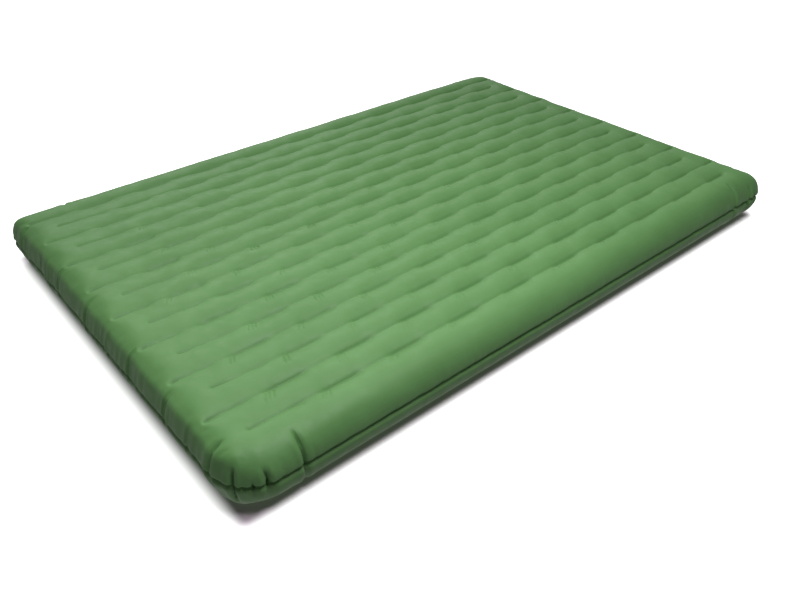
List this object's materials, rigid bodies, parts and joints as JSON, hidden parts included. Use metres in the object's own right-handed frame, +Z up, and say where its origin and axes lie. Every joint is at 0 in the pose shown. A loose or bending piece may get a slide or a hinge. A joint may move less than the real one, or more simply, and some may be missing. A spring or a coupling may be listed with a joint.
{
  "type": "inflatable sleeping pad",
  "caption": "Two-person inflatable sleeping pad with lengthwise tubes held by I-beam baffles, a perimeter weld and a hinged flat valve.",
  "frame": {"origin": "on the floor under the middle of the pad", "axes": "+Y along the pad towards the head end, +X across it, +Z up"},
  "size_m": [1.33, 1.98, 0.158],
  "materials": {
    "top_fabric": "satin coated woven polyester, mid green",
    "bottom_fabric": "coated woven polyester, darker green",
    "baffle_fabric": "plain laminated polyester, off-white",
    "patch_fabric": "laminated film, dark green",
    "valve_plastic": "moulded, very dark green",
    "cap_plastic": "moulded, near black",
    "seat_plastic": "moulded, light grey",
    "seal_rubber": "smooth black rubber",
    "flap_silicone": "translucent grey silicone",
    "pin_steel": "plain stainless pin"
  },
  "bodies": {
    "pad": {"top_sheet": "top_fabric", "bottom_sheet": "bottom_fabric", "baffle_01": "baffle_fabric", "baffle_02": "baffle_fabric", "baffle_03": "baffle_fabric", "baffle_04": "baffle_fabric", "baffle_05": "baffle_fabric", "baffle_06": "baffle_fabric", "baffle_07": "baffle_fabric", "baffle_08": "baffle_fabric", "baffle_09": "baffle_fabric", "baffle_10": "baffle_fabric", "baffle_11": "baffle_fabric", "baffle_12": "baffle_fabric", "baffle_13": "baffle_fabric", "baffle_14": "baffle_fabric", "baffle_15": "baffle_fabric", "baffle_16": "baffle_fabric", "valve_patch": "patch_fabric", "valve_base": "valve_plastic", "lid_hinge_pin": "pin_steel"},
    "lid": {"deflate_lid": "valve_plastic", "lid_seal_ring": "seal_rubber", "flap_seat": "seat_plastic", "cap_hinge_pin": "pin_steel"},
    "cap": {"inflate_cap": "cap_plastic", "cap_gasket": "seal_rubber"},
    "flap": {"check_flap": "flap_silicone"}
  },
  "joints": [
    {"name": "lid_hinge", "type": "hinge", "parent": "pad", "child": "lid", "pos_m": [0.548, 0.96936, 0.13149], "axis": [1, 0, 0], "range_deg": [0, 140]},
    {"name": "cap_hinge", "type": "hinge", "parent": "lid", "child": "cap", "pos_m": [0.548, 0.98464, 0.09799], "axis": [-1, 0, 0], "range_deg": [0, 135]},
    {"name": "flap_lift", "type": "slide", "parent": "lid", "child": "flap", "axis": [0, -0.9397, -0.342], "range_m": [0, 0.0015], "stiffness_N_per_m": 40}
  ]
}
